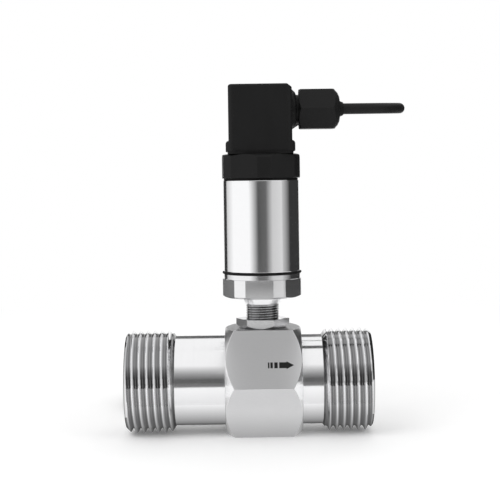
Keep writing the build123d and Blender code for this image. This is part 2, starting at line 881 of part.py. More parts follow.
nodes = {
    "meter_body": meter_body(),
    "inlet_guide": flow_guide(-1, inlet_guide_length),
    "outlet_guide": flow_guide(1, outlet_guide_length),
    "inlet_retaining_ring": retaining_ring(-1, inlet_guide_length),
    "outlet_retaining_ring": retaining_ring(1, outlet_guide_length),
    "inlet_bearing": bearing(-1),
    "outlet_bearing": bearing(1),
    "thrust_pads": [thrust_pad(-1), thrust_pad(1)],
    "rotor": rotor(),
    "rotor_shaft": rotor_shaft(),
    "lock_nut": lock_nut(),
    "pickup_body": pickup_body(),
    "pole_piece": pole_piece(),
    "coil_bobbin": coil_bobbin(),
    "pickup_winding": pickup_winding(),
    "magnet": magnet(),
    "coil_leads": coil_leads(),
    "lower_seal": lower_seal(),
    "housing_sleeve": housing_sleeve(),
    "circuit_board": circuit_board(),
    "board_chips": board_chips(),
    "board_capacitors": board_capacitors(),
    "upper_seal": upper_seal(),
    "connector_cap": connector_cap(),
    "contact_base": contact_base(),
    "contact_blades": contact_blades(),
    "screw_insert": screw_insert(),
    "flat_gasket": flat_gasket(),
    "plug_housing": plug_housing(),
    "terminal_block": terminal_block(),
    "plug_contacts": plug_contacts(),
    "plug_screw": plug_screw(),
    "screw_seal": screw_seal(),
    "gland_seal": gland_seal(),
    "gland_washer": gland_washer(),
    "gland_nut": gland_nut(),
    "cable_sleeve": cable_sleeve(),
    "cable": tube(cable_points, cable_diameter),
    "cable_coil": cable_coil(),
    "cable_tail": tube(tail_points, cable_diameter),
    "coil_tie": coil_tie(),
    "supply_core": core(-1),
    "signal_core": core(0),
    "return_core": core(1),
}

os.makedirs("parts", exist_ok=True)
for name, piece in nodes.items():
    shape = Compound(children=piece) if isinstance(piece, list) else piece
    export_step(shape, f"parts/{name}.step")
print(len(nodes), "nodes")
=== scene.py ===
from math import atan2, cos, degrees, hypot, pi, radians, sin

import bmesh
import bpy
from mathutils import Matrix, Vector


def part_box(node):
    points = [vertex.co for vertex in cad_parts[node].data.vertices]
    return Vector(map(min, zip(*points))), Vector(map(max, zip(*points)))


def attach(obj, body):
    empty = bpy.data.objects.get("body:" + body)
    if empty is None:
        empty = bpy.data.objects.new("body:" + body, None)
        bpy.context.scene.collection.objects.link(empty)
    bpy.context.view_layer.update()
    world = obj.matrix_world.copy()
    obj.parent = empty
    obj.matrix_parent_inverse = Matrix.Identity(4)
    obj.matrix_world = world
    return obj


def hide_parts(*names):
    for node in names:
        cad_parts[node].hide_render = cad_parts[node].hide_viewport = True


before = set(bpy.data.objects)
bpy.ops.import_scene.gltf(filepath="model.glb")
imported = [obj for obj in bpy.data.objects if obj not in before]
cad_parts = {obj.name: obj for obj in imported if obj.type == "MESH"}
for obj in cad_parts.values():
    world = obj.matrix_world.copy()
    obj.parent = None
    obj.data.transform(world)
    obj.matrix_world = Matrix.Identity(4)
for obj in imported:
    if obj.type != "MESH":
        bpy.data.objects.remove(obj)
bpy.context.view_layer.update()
print("frame loaded")

mm = 0.001
scene = bpy.context.scene
boreZ = 17.0  # heights and lengths in the dictionaries are in millimetres
headX = 4.7


# Camera

cameraSetup = {
    "distance": 400.0, "height": 82.0, "sideways": 1.2, "lens": 88.44, "riseShift": -0.141, "roll": -0.8,
    "clip": (0.01, 20),  # nearest and farthest in metres
}


def makeCamera(setup):
    data = bpy.data.cameras.new("camera")
    data.lens = setup["lens"]
    data.shift_y = setup["riseShift"]
    data.clip_start, data.clip_end = setup["clip"]
    camera = bpy.data.objects.new("camera", data)
    scene.collection.objects.link(camera)
    place = Matrix.Translation((setup["sideways"] * mm, -setup["distance"] * mm, setup["height"] * mm))
    turn = Matrix.Rotation(radians(90), 4, "X") @ Matrix.Rotation(radians(setup["roll"]), 4, "Z")
    camera.matrix_world = place @ turn
    scene.camera = camera


makeCamera(cameraSetup)


# Node helpers

def addNode(tree, kind, **values):
    node = tree.nodes.new(kind)
    for key, value in values.items():
        if key in node.inputs.keys():
            node.inputs[key].default_value = value
        else:
            setattr(node, key, value)
    return node


def addMath(tree, operation, first, second):
    node = addNode(tree, "ShaderNodeMath", operation=operation)
    for socket, value in zip(node.inputs, (first, second)):
        if isinstance(value, (int, float)):
            socket.default_value = value
        else:
            tree.links.new(value, socket)
    return node.outputs[0]


def emptyMaterial(name):
    material = bpy.data.materials.new(name)
    material.use_nodes = True
    material.node_tree.nodes.clear()
    return material, material.node_tree


# Studio: a soft white dome, a pale floor, and cards that only reflections meet

studio = {
    "dome": 0.80, "cardDistance": 380.0, "cardSteps": 12,
    "floorRadius": 620.0, "floorPlain": 180.0, "floorFade": 420.0, "paper": 0.93, "paperGlow": 0.10,
}
# azimuth from and to in degrees, 0 on the camera's side; low and high in millimetres; brightness at each
# end, and topTone at the top edge where it differs
cards = {
    "leftFade": {"from": -36, "to": -9, "low": 0, "high": 90, "tones": (1.0, 0.09)},
    "cameraSide": {"from": -9, "to": 14, "low": 0, "high": 90, "tones": (0.09, 0.13)},
    "rightRise": {"from": 14, "to": 32, "low": 0, "high": 90, "tones": (0.13, 0.58)},
    "frontRise": {"from": -36, "to": 32, "low": 90, "high": 194, "tones": (0.15, 0.15), "topTone": 0.4},
    "frontFade": {"from": -36, "to": 32, "low": 194, "high": 384, "tones": (0.4, 0.4), "topTone": 1.0},
    "rightFill": {"from": 32, "to": 64, "low": 0, "high": 253, "tones": (0.60, 0.70)},
    "rightFall": {"from": 64, "to": 92, "low": 0, "high": 253, "tones": (0.55, 0.05)},
    "rightDark": {"from": 92, "to": 152, "low": 0, "high": 317, "tones": (0.035, 0.035)},
    "backRight": {"from": 152, "to": 172, "low": 100, "high": 317, "tones": (0.75, 0.75)},
    "backDark": {"from": 172, "to": 190, "low": 100, "high": 317, "tones": (0.12, 0.12)},
    "backLeft": {"from": 190, "to": 208, "low": 100, "high": 317, "tones": (0.75, 0.75)},
    "leftDark": {"from": 208, "to": 234, "low": 0, "high": 317, "tones": (0.04, 0.04)},
    "leftEdge": {"from": 234, "to": 268, "low": 0, "high": 253, "tones": (0.60, 1.0)},
    # a dark band close in front, met only by reflections, paints a dark reflection across the bar and
    # threads
    "nearDarkBand": {"from": -30, "to": 30, "low": 0, "high": 18, "tones": (0.17, 0.17), "distance": 112.0},
}
# flat cards, met only by reflections: painted shade under the body, a grey flag over the hexagon's upper
# face that paints a darker reflection on it, and dark sheets on the floor to both sides that paint dark
# reflections
flatCards = {
    "underFront": {"x": (-48, 48), "y": (-20, 0), "height": 0.2, "tones": (1.0, 0.10)},
    "underBack": {"x": (-48, 48), "y": (0, 34), "height": 0.2, "tones": (0.10, 0.20)},
    "hexFlag": {"x": (-8, 17), "y": (-62, -11), "height": 42.0, "tones": (0.55, 0.55)},
    "floorRight": {"x": (120, 370), "y": (25, 215), "height": 0.3, "tones": (0.10, 0.10)},
    "floorLeft": {"x": (-330, -90), "y": (60, 290), "height": 0.3, "tones": (0.10, 0.10)},
}
lampTarget = (0, 0, 55)
lamps = {
    "key": {"at": (-380, -420, 520), "size": 420, "power": 1.25},
    "fill": {"at": (460, -300, 260), "size": 380, "power": 0.4},
    "back": {"at": (80, 480, 460), "size": 420, "power": 0.55},
}


def makeWorld(setup):
    world = bpy.data.worlds.new("studio")
    scene.world = world
    world.use_nodes = True
    tree = world.node_tree
    tree.nodes.clear()
    dome = addNode(tree, "ShaderNodeBackground", Color=(1, 1, 1, 1), Strength=setup["dome"])
    white = addNode(tree, "ShaderNodeBackground", Color=(1, 1, 1, 1), Strength=1.0)
    rays = addNode(tree, "ShaderNodeLightPath")
    seen = addMath(tree, "MAXIMUM", rays.outputs["Is Camera Ray"], rays.outputs["Is Transmission Ray"])
    seen = addMath(tree, "MAXIMUM", seen, rays.outputs["Is Glossy Ray"])
    mixed = addNode(tree, "ShaderNodeMixShader")
    tree.links.new(seen, mixed.inputs[0])
    tree.links.new(dome.outputs[0], mixed.inputs[1])
    tree.links.new(white.outputs[0], mixed.inputs[2])
    output = addNode(tree, "ShaderNodeOutputWorld")
    tree.links.new(mixed.outputs[0], output.inputs[0])


def addCard(name, bm, toneAt):
    mesh = bpy.data.meshes.new(name)
    bm.to_mesh(mesh)
    bm.free()
    tones = mesh.attributes.new("tone", "FLOAT", "POINT")
    for vert, tone in zip(mesh.vertices, tones.data):
        tone.value = toneAt(vert.co / mm)
    material, tree = emptyMaterial(name)
    glow = addNode(tree, "ShaderNodeEmission", Color=(1, 1, 1, 1))
    strength = addNode(tree, "ShaderNodeAttribute", attribute_name="tone")
    tree.links.new(strength.outputs["Fac"], glow.inputs["Strength"])
    output = addNode(tree, "ShaderNodeOutputMaterial")
    tree.links.new(glow.outputs[0], output.inputs[0])
    mesh.materials.append(material)
    card = bpy.data.objects.new(name, mesh)
    card.visible_camera = False
    card.visible_diffuse = False
    card.visible_shadow = False
    scene.collection.objects.link(card)


def makeCard(name, setup):
    angle, span = radians(setup["from"]), setup["to"] - setup["from"]
    reach = setup.get("distance", studio["cardDistance"]) * mm
    bm = bmesh.new()
    foot = (reach * sin(angle), -reach * cos(angle))
    ends = [bm.verts.new((*foot, setup[edge] * mm)) for edge in ("low", "high")]
    upright = bm.edges.new(ends)
    bmesh.ops.spin(bm, geom=ends + [upright], cent=(0, 0, 0), axis=(0, 0, 1), angle=radians(span),
                   steps=studio["cardSteps"])
    first, last = setup["tones"]

    def toneAt(place):  # turned is the angle from the first edge, which rounding can take just below 0
        turned = (degrees(atan2(place.x, -place.y)) - setup["from"] + 90) % 360 - 90
        if "topTone" in setup and place.z > setup["low"] + 1:
            return setup["topTone"]
        return first + (last - first) * turned / span
    addCard(name, bm, toneAt)


def makeFlatCard(name, setup):
    (left, right), (front, back) = setup["x"], setup["y"]
    bm = bmesh.new()
    bmesh.ops.create_grid(bm, x_segments=1, y_segments=1, size=0.5)
    bmesh.ops.scale(bm, vec=((right - left) * mm, (back - front) * mm, 1), verts=bm.verts)
    centre = Vector((left + right, front + back, setup["height"] * 2)) * mm / 2
    bmesh.ops.translate(bm, vec=centre, verts=bm.verts)
    first, last = setup["tones"]
    addCard(name, bm, lambda place: first + (last - first) * (place.y - front) / (back - front))


def makeLamps(setup):
    target = Vector(lampTarget) * mm
    for name, lamp in setup.items():
        data = bpy.data.lights.new(name, "AREA")
        data.size = lamp["size"] * mm
        data.energy = lamp["power"]
        light = bpy.data.objects.new(name, data)
        light.location = Vector(lamp["at"]) * mm
        light.rotation_euler = (target - light.location).to_track_quat("-Z", "Y").to_euler()
        light.visible_glossy = False
        scene.collection.objects.link(light)


def makeFloor(setup):  # white paper under the object, which fades into the white background
    bm = bmesh.new()
    bmesh.ops.create_circle(bm, cap_ends=True, segments=128, radius=setup["floorRadius"] * mm)
    mesh = bpy.data.meshes.new("floor")
    bm.to_mesh(mesh)
    bm.free()
    floor = bpy.data.objects.new("floor", mesh)
    scene.collection.objects.link(floor)
    material, tree = emptyMaterial("paleFloor")
    coords = addNode(tree, "ShaderNodeTexCoord").outputs["Object"]
    distance = addNode(tree, "ShaderNodeVectorMath", operation="LENGTH")
    tree.links.new(coords, distance.inputs[0])
    fade = addNode(tree, "ShaderNodeMapRange", interpolation_type="SMOOTHSTEP")
    fade.inputs["From Min"].default_value = setup["floorPlain"] * mm
    fade.inputs["From Max"].default_value = setup["floorFade"] * mm
    tree.links.new(distance.outputs["Value"], fade.inputs["Value"])
    tone = setup["paper"]
    paper = addNode(tree, "ShaderNodeBsdfDiffuse", Color=(tone, tone, tone, 1))
    glow = addNode(tree, "ShaderNodeEmission", Color=(1, 1, 1, 1), Strength=setup["paperGlow"])
    near = addNode(tree, "ShaderNodeAddShader")
    tree.links.new(paper.outputs[0], near.inputs[0])
    tree.links.new(glow.outputs[0], near.inputs[1])
    far = addNode(tree, "ShaderNodeEmission", Color=(1, 1, 1, 1), Strength=1.0)
    both = addNode(tree, "ShaderNodeMixShader")
    tree.links.new(fade.outputs[0], both.inputs[0])
    tree.links.new(near.outputs[0], both.inputs[1])
    tree.links.new(far.outputs[0], both.inputs[2])
    output = addNode(tree, "ShaderNodeOutputMaterial")
    tree.links.new(both.outputs[0], output.inputs[0])
    mesh.materials.append(material)


makeWorld(studio)
for cardName, cardSetup in cards.items():
    makeCard(cardName, cardSetup)
for cardName, cardSetup in flatCards.items():
    makeFlatCard(cardName, cardSetup)
makeLamps(lamps)
makeFloor(studio)
scene.view_settings.view_transform = "Standard"
print("camera and studio made")


# Materials

def startMaterial(name):
    material = bpy.data.materials.new(name)
    material.use_nodes = True
    tree = material.node_tree
    shader = tree.nodes["Principled BSDF"]
    coords = addNode(tree, "ShaderNodeTexCoord").outputs["Object"]
    return material, tree, shader, coords


def stretchedNoise(tree, coords, scale, detail=3.0):  # a scale for each axis stretches the cells
    mapping = addNode(tree, "ShaderNodeMapping", Scale=scale)
    tree.links.new(coords, mapping.inputs["Vector"])
    noise = addNode(tree, "ShaderNodeTexNoise", Scale=1.0, Detail=detail, Roughness=0.6)
    tree.links.new(mapping.outputs[0], noise.inputs["Vector"])
    return noise.outputs["Fac"]


def spread(tree, factor, low, high):
    node = addNode(tree, "ShaderNodeMapRange")
    node.inputs["To Min"].default_value = low
    node.inputs["To Max"].default_value = high
    tree.links.new(factor, node.inputs["Value"])
    return node.outputs[0]


def tint(tree, factor, dark, light):
    node = addNode(tree, "ShaderNodeMix", data_type="RGBA")
    node.inputs[6].default_value = (*dark, 1)
    node.inputs[7].default_value = (*light, 1)
    tree.links.new(factor, node.inputs["Factor"])
    return node.outputs[2]


def addBump(tree, shader, height, depth):
    node = addNode(tree, "ShaderNodeBump", Strength=1.0, Distance=depth)
    tree.links.new(height, node.inputs["Height"])
    tree.links.new(node.outputs[0], shader.inputs["Normal"])


def paintedRootShade(tree, coords, groove):  # painted shade: a factor on the colour, 1 on a thread's crest, down to its shade at the root
    about, across = groove["about"], groove["across"]
    offset = addNode(tree, "ShaderNodeVectorMath", operation="SUBTRACT")
    tree.links.new(coords, offset.inputs[0])
    offset.inputs[1].default_value = Vector(about) * mm
    flat = addNode(tree, "ShaderNodeVectorMath", operation="MULTIPLY")
    tree.links.new(offset.outputs[0], flat.inputs[0])
    flat.inputs[1].default_value = across
    reach = addNode(tree, "ShaderNodeVectorMath", operation="LENGTH")
    tree.links.new(flat.outputs[0], reach.inputs[0])
    shade = addNode(tree, "ShaderNodeMapRange")
    shade.inputs["From Min"].default_value = groove["root"] * mm
    shade.inputs["From Max"].default_value = groove["crest"] * mm
    shade.inputs["To Min"].default_value = groove["shade"]
    tree.links.new(reach.outputs["Value"], shade.inputs["Value"])
    return shade.outputs[0]


patches = (90.0, 90.0, 90.0)  # scale of the faint clouding on every metal
grainShare = 0.6  # of the tone, from the cutter marks; the rest is from the clouding


# Metal: lines is the scale of the cutter marks along x, y and z, and lineDepth is in metres
def makeMetal(name, dark, light, roughness, lines, lineDepth, stretch=0.0, turnedAbout=None, groove=None):
    material, tree, shader, coords = startMaterial(name)
    shader.inputs["Metallic"].default_value = 1.0
    if turnedAbout:
        shader.inputs["Anisotropic"].default_value = stretch
        shader.inputs["Anisotropic Rotation"].default_value = 0.25
        tangent = addNode(tree, "ShaderNodeTangent", direction_type="RADIAL", axis=turnedAbout)
        tree.links.new(tangent.outputs[0], shader.inputs["Tangent"])
    grain = stretchedNoise(tree, coords, lines)
    cloud = stretchedNoise(tree, coords, patches, detail=4.0)
    both = addMath(tree, "ADD", addMath(tree, "MULTIPLY", grain, grainShare),
                   addMath(tree, "MULTIPLY", cloud, 1 - grainShare))
    colour = tint(tree, both, dark, light)
    # painted shade: a thread's colour darkens towards its root
    if groove:
        darker = addNode(tree, "ShaderNodeVectorMath", operation="SCALE")
        tree.links.new(colour, darker.inputs[0])
        tree.links.new(paintedRootShade(tree, coords, groove), darker.inputs["Scale"])
        colour = darker.outputs[0]
    tree.links.new(colour, shader.inputs["Base Color"])
    tree.links.new(spread(tree, both, roughness[0], roughness[1]), shader.inputs["Roughness"])
    addBump(tree, shader, grain, lineDepth)
    return material


# Moulded plastic: a fine spark-eroded texture and faint handling marks
def makePlastic(name, dark, light, roughness, texture=3200.0, depth=0.000008, shine=0.28):
    material, tree, shader, coords = startMaterial(name)
    shader.inputs["Specular IOR Level"].default_value = shine
    fine = stretchedNoise(tree, coords, (texture, texture, texture), detail=2.0)
    marks = stretchedNoise(tree, coords, (160, 160, 60), detail=5.0)
    tree.links.new(tint(tree, marks, dark, light), shader.inputs["Base Color"])
    tree.links.new(spread(tree, marks, roughness[0], roughness[1]), shader.inputs["Roughness"])
    addBump(tree, shader, fine, depth)
    return material


def grey(value):
    return (value, value, value * 1.01)


# scales of the cutter marks on turned and ground surfaces
alongX, alongZ, allRound = (9000, 60, 60), (60, 60, 9000), (1800, 1800, 1800)
# a thread's axis, the axes across it, its root and crest radius in millimetres, and how dark the painted
# shade at its root is
pipeGroove = {"about": (0, 0, boreZ), "across": (0, 1, 1), "root": 15.15, "crest": 16.0, "shade": 0.24}
stemGroove = {"about": (headX, 0, 0), "across": (1, 1, 0), "root": 5.05, "crest": 5.42, "shade": 0.42}
# each with its darkest and lightest tone and its least and most roughness
finishes = {
    "turned": makeMetal("turnedSteel", grey(0.84), grey(0.94), (0.12, 0.20), alongX, 0.0000015,
                        stretch=0.75, turnedAbout="X"),
    # the two thread finishes carry painted shade in their roots
    "thread": makeMetal("threadSteel", grey(0.92), grey(0.99), (0.04, 0.09), alongX, 0.0000006,
                        groove=pipeGroove),
    "fineThread": makeMetal("fineThreadSteel", grey(0.52), grey(0.64), (0.12, 0.20), allRound, 0.000001,
                            groove=stemGroove),
    "milled": makeMetal("milledSteel", grey(0.64), grey(0.74), (0.26, 0.36), (900, 5200, 5200), 0.000003),
    "flats": makeMetal("flatsSteel", grey(0.88), grey(0.97), (0.18, 0.24), (5200, 5200, 900), 0.000002),
    "nut": makeMetal("nutSteel", grey(0.86), grey(0.95), (0.20, 0.28), allRound, 0.000002),
    "upright": makeMetal("uprightSteel", grey(0.80), grey(0.92), (0.10, 0.18), alongZ, 0.000002),
    "polished": makeMetal("polishedSteel", grey(0.92), grey(0.98), (0.07, 0.12), (60, 60, 5200),
                          0.0000008),
    "rotor": makeMetal("rotorSteel", grey(0.50), grey(0.66), (0.22, 0.38), allRound, 0.000003),
    # dark spring steel of the retaining rings, also used as painted shade on the lock nut's lower chamfer
    "spring": makeMetal("springSteelAndPaintedShade", grey(0.38), grey(0.52), (0.25, 0.40), allRound, 0.000003),
    "carbide": makeMetal("carbide", grey(0.22), grey(0.30), (0.20, 0.32), allRound, 0.000001),
    "iron": makeMetal("softIron", grey(0.36), grey(0.46), (0.30, 0.45), allRound, 0.000003),
    "nickel": makeMetal("nickelPlate", (0.66, 0.64, 0.58), (0.76, 0.74, 0.68), (0.10, 0.18), allRound,
                        0.000001),
    "tin": makeMetal("tinPlate", grey(0.66), grey(0.78), (0.18, 0.30), allRound, 0.000001),
    "brass": makeMetal("brass", (0.70, 0.50, 0.20), (0.82, 0.62, 0.30), (0.16, 0.28), alongZ, 0.000002),
    "copper": makeMetal("copperWire", (0.55, 0.22, 0.09), (0.75, 0.36, 0.18), (0.22, 0.34),
                        (60, 60, 12000), 0.00002),
    "black": makePlastic("blackNylon", grey(0.0065), grey(0.0105), (0.44, 0.54), shine=0.16),
    "greyNylon": makePlastic("greyNylon", grey(0.05), grey(0.07), (0.40, 0.50)),
    "natural": makePlastic("naturalNylon", (0.70, 0.67, 0.58), (0.78, 0.75, 0.66), (0.40, 0.50)),
    "board": makePlastic("boardLacquer", (0.010, 0.10, 0.035), (0.015, 0.15, 0.05), (0.20, 0.28),
                         texture=900.0),
    "chip": makePlastic("chipPackage", grey(0.020), grey(0.028), (0.45, 0.55)),
    "rubber": makePlastic("sealRubber", grey(0.005), grey(0.008), (0.50, 0.62), texture=2200.0,
                          shine=0.12),
    "jacket": makePlastic("cableJacket", grey(0.007), grey(0.011), (0.46, 0.56), texture=2600.0,
                          depth=0.000004, shine=0.18),
    "strap": makePlastic("strapWeave", grey(0.012), grey(0.030), (0.75, 0.90), texture=1500.0,
                         depth=0.00012),
    "coreRed": makePlastic("coreRed", (0.42, 0.012, 0.010), (0.52, 0.02, 0.015), (0.30, 0.40)),
    "coreYellow": makePlastic("coreYellow", (0.75, 0.48, 0.02), (0.82, 0.55, 0.04), (0.30, 0.40)),
    "coreBlack": makePlastic("coreBlack", grey(0.012), grey(0.018), (0.30, 0.40)),
    "ink": makePlastic("arrowInk", grey(0.006), grey(0.010), (0.55, 0.70)),
}
print("finishes made")


# Mesh helpers

sharpAngle = radians(28)
sameSpot = 1e-7  # metres; vertices nearer than this are one
nearSpot = 2e-6  # the same after a cut or a winding, where they agree less well


def weighNormals(piece):  # large faces stay flat, and the shading turns in the small edge faces
    modifier = piece.modifiers.new("weigh", "WEIGHTED_NORMAL")
    modifier.keep_sharp = True
    graph = bpy.context.evaluated_depsgraph_get()
    shaded = bpy.data.meshes.new_from_object(piece.evaluated_get(graph), preserve_all_data_layers=True,
                                             depsgraph=graph)
    piece.modifiers.remove(modifier)
    plain = piece.data
    piece.data = shaded
    bpy.data.meshes.remove(plain)
    shaded.name = piece.name


# A finish can name several materials, in the order of the faces' material index
def addPiece(name, bm, finish, replaced=(), sharp=sharpAngle):
    bmesh.ops.remove_doubles(bm, verts=bm.verts, dist=sameSpot)
    bmesh.ops.recalc_face_normals(bm, faces=bm.faces)
    mesh = bpy.data.meshes.new(name)
    bm.to_mesh(mesh)
    bm.free()
    mesh.shade_smooth()
    mesh.set_sharp_from_angle(angle=sharp)
    for item in finish.split():
        mesh.materials.append(finishes[item])
    piece = bpy.data.objects.new(name, mesh)
    scene.collection.objects.link(piece)
    weighNormals(piece)
    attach(piece, "meter")
    if replaced:
        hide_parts(*replaced)


def spinOutline(points, steps=160):  # closed outline of radius and height, turned about Z
    bm = bmesh.new()
    verts = [bm.verts.new((radius * mm, 0, height * mm)) for radius, height in points]
    for first, second in zip(verts, verts[1:] + verts[:1]):
        bm.edges.new((first, second))
    geom = bm.verts[:] + bm.edges[:]
    bmesh.ops.spin(bm, geom=geom, cent=(0, 0, 0), axis=(0, 0, 1), angle=2 * pi, steps=steps,
                   use_merge=True)
    bmesh.ops.remove_doubles(bm, verts=bm.verts, dist=sameSpot)
    bmesh.ops.recalc_face_normals(bm, faces=bm.faces)
    return bm


def layAlongX(bm, height, start=0.0):
    place = Matrix.Translation((start * mm, 0, height * mm)) @ Matrix.Rotation(radians(90), 4, "Y")
    bmesh.ops.transform(bm, matrix=place, verts=bm.verts)
    return bm


def moveTo(bm, x=0.0, z=0.0, turn=0.0):
    place = Matrix.Translation((x * mm, 0, z * mm)) @ Matrix.Rotation(radians(turn), 4, "Z")
    bmesh.ops.transform(bm, matrix=place, verts=bm.verts)
    return bm


def cornerRadius(acrossFlats):  # of a hexagon
    return acrossFlats / 2 / cos(radians(30))


def prism(acrossFlats, height):  # an upright hexagon from z 0, with a corner on +X
    bm = bmesh.new()
    radius = cornerRadius(acrossFlats) * mm
    bmesh.ops.create_cone(bm, cap_ends=True, segments=6, radius1=radius, radius2=radius, depth=height * mm)
    bmesh.ops.transform(bm, matrix=Matrix.Translation((0, 0, height / 2 * mm)), verts=bm.verts)
    bm.verts.ensure_lookup_table()
    align = atan2(bm.verts[0].co.y, bm.verts[0].co.x)
    bmesh.ops.transform(bm, matrix=Matrix.Rotation(-align, 4, "Z"), verts=bm.verts)
    return bm


def intersect(first, second):  # the solid that both share
    objects = []
    for bm in (first, second):
        mesh = bpy.data.meshes.new("work")
        bmesh.ops.recalc_face_normals(bm, faces=bm.faces)
        bm.to_mesh(mesh)
        bm.free()
        item = bpy.data.objects.new("work", mesh)
        scene.collection.objects.link(item)
        objects.append(item)
    modifier = objects[0].modifiers.new("cut", "BOOLEAN")
    modifier.operation = "INTERSECT"
    modifier.object = objects[1]
    modifier.solver = "EXACT"
    bpy.context.view_layer.update()
    evaluated = objects[0].evaluated_get(bpy.context.evaluated_depsgraph_get())
    result = bmesh.new()
    result.from_mesh(evaluated.to_mesh())
    evaluated.to_mesh_clear()
    for item in objects:
        mesh = item.data
        bpy.data.objects.remove(item)
        bpy.data.meshes.remove(mesh)
    bmesh.ops.remove_doubles(result, verts=result.verts, dist=nearSpot)
    return result


def softenEdges(bm, width, angle, segments=2):  # of the edges that turn by more than the angle
    edges = [e for e in bm.edges if len(e.link_faces) == 2 and e.calc_face_angle(0) > radians(angle)]
    bmesh.ops.bevel(bm, geom=edges, offset=width * mm, affect="EDGES", segments=segments, profile=0.5,
                    material=-1, clamp_overlap=True)
    return bm


def threadSleeve(setup):  # a helical ridge about Z, from z 0, held under a largest radius at its ends
    pitch, crest, depth = setup["pitch"], setup["crest"], setup["depth"]
    early = 2  # turns that start below z 0 and are cut there
    turns = int(setup["length"] / pitch) + early + 1
    bm = bmesh.new()
    chain = []
    for turn in range(turns):
        for along, height in setup["form"]:
            z = (turn - early + along) * pitch + setup["phase"] * pitch
            chain.append(bm.verts.new(((crest - depth * (1 - height)) * mm, 0, z * mm)))
    for first, second in zip(chain, chain[1:]):
        bm.edges.new((first, second))
    bmesh.ops.spin(bm, geom=bm.verts[:] + bm.edges[:], cent=(0, 0, 0), axis=(0, 0, 1), angle=2 * pi,
                   steps=setup["steps"], dvec=(0, 0, pitch * mm / setup["steps"]))
    bmesh.ops.remove_doubles(bm, verts=bm.verts, dist=nearSpot)
    for height, outward in ((0, -1), (setup["length"], 1)):
        bmesh.ops.bisect_plane(bm, geom=bm.verts[:] + bm.edges[:] + bm.faces[:], clear_outer=True,
                               plane_co=(0, 0, height * mm), plane_no=(0, 0, outward))
    for vert in bm.verts:
        radius = hypot(vert.co.x, vert.co.y)
        most = setup["limit"](vert.co.z / mm) * mm
        if radius > most:
            vert.co.x *= most / radius
            vert.co.y *= most / radius
    rim = [e for e in bm.edges if e.is_boundary]
    inner = bmesh.ops.extrude_edge_only(bm, edges=rim)["geom"]
    sunk = setup["sunk"] * mm
    for vert in (item for item in inner if isinstance(item, bmesh.types.BMVert)):
        radius = hypot(vert.co.x, vert.co.y)
        vert.co.x *= sunk / radius
        vert.co.y *= sunk / radius
        if vert.co.z > setup["length"] * mm / 2:
            vert.co.z -= setup["endDrop"] * mm  # the closing rim stays clear of the bar's end face
    return bm


# Meter body: turned bar with the bore, hexagon, and a thread on each end

body = {
    "half": 39.5, "tube": 14.4, "hexFlats": 34.0, "hexLength": 24.5, "land": 0.3,
    "threadLength": 16.0, "runout": 1.6, "guideBore": 10.6, "chamber": 10.0, "shoulder": 4.0,
    "grooveDepth": 0.7, "grooveWidth": 1.05, "inletGuide": 24.0, "outletGuide": 18.0, "mouth": 0.8,
    "edge": 0.18, "hexBore": 11.2,
}
rootGap = 0.02  # the bar under a thread lies this much below its root
pipeThread = {
    "pitch": 2.309, "crest": 16.62, "depth": 1.479, "length": 16.0, "steps": 128, "chamfer": 1.5,
    "form": [(0.0, 0.0), (0.10, 0.05), (0.20, 0.24), (0.30, 0.50), (0.40, 0.77), (0.45, 0.92), (0.50, 1.0),
             (0.55, 0.92), (0.60, 0.77), (0.70, 0.50), (0.80, 0.24), (0.90, 0.05)],
    "sunk": 13.6, "endDrop": 0.5, "fadeDrop": 0.05, "inletPhase": 0.0, "outletPhase": 0.5,
}


def bodyOutline(setup):
    half, tube, bore = setup["half"], setup["tube"], setup["guideBore"]
    core = pipeThread["crest"] - pipeThread["depth"] - rootGap
    step = half - setup["threadLength"]
    inletEnd = headX - setup["shoulder"] - setup["inletGuide"]
    outletEnd = headX + setup["shoulder"] + setup["outletGuide"]
    groove = bore + setup["grooveDepth"]
    width = setup["grooveWidth"]
    outside = [(core, -half), (core, -step - setup["runout"]), (tube, -step), (tube, step),
               (core, step + setup["runout"]), (core, half)]
    inside = [(bore + setup["mouth"], half), (bore, half - setup["mouth"]), (bore, outletEnd + width),
              (groove, outletEnd + width), (groove, outletEnd), (bore, outletEnd),
              (bore, headX + setup["shoulder"]), (setup["chamber"], headX + setup["shoulder"]),
              (setup["chamber"], headX - setup["shoulder"]), (bore, headX - setup["shoulder"]),
              (bore, inletEnd), (groove, inletEnd), (groove, inletEnd - width), (bore, inletEnd - width),
              (bore, -half + setup["mouth"]), (bore + setup["mouth"], -half)]
    return outside + inside


def threadLimit(setup):  # z runs from the thread's inner end to the body's end
    outer = setup["crest"]
    low = body["tube"] - setup["fadeDrop"]

    def limit(z):
        fade = low + (outer - low) * min(1.0, z / body["runout"])
        chamfer = outer - setup["chamfer"] + (setup["length"] - z)
        return min(outer, fade, chamfer)
    return limit


